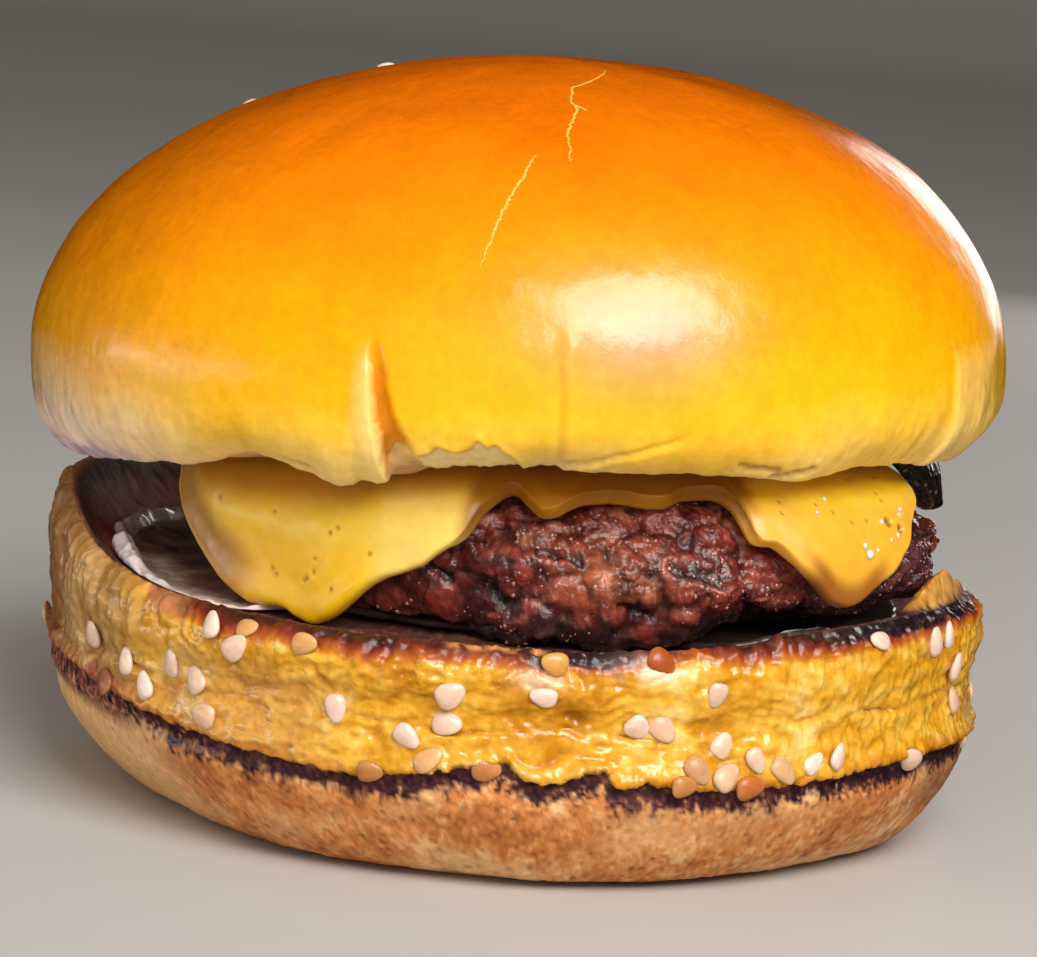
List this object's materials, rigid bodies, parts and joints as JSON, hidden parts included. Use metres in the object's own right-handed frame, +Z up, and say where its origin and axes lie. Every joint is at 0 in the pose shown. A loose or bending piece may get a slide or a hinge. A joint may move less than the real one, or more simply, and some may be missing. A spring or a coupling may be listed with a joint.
{
  "type": "hamburger",
  "caption": "Hamburger in a glazed bun: domed crown, melted cheese slice over a coarse beef patty, gherkin slice, white sauce and a sesame-seeded heel.",
  "frame": {"origin": "centre of the bounding box's base, on the surface that the heel rests on", "axes": "+Z up; -Y is the front that the picture shows; +X is to the right of that front"},
  "size_m": [0.1081, 0.106, 0.0833],
  "materials": {
    "bun_top": "egg-glazed brioche crust, golden orange, satin",
    "bun_bottom": "golden crust above a toasted dark line, pale baked underside",
    "patty": "coarse seared ground beef, moist",
    "cheese": "melted processed cheese, smooth satin",
    "mayo": "creamy white sauce, glossy",
    "pickle_slice": "dark wet gherkin"
  },
  "bodies": {
    "root": {"bun_top": "bun_top", "bun_bottom": "bun_bottom", "patty": "patty", "cheese": "cheese", "mayo": "mayo", "pickle_slice": "pickle_slice"}
  },
  "joints": []
}
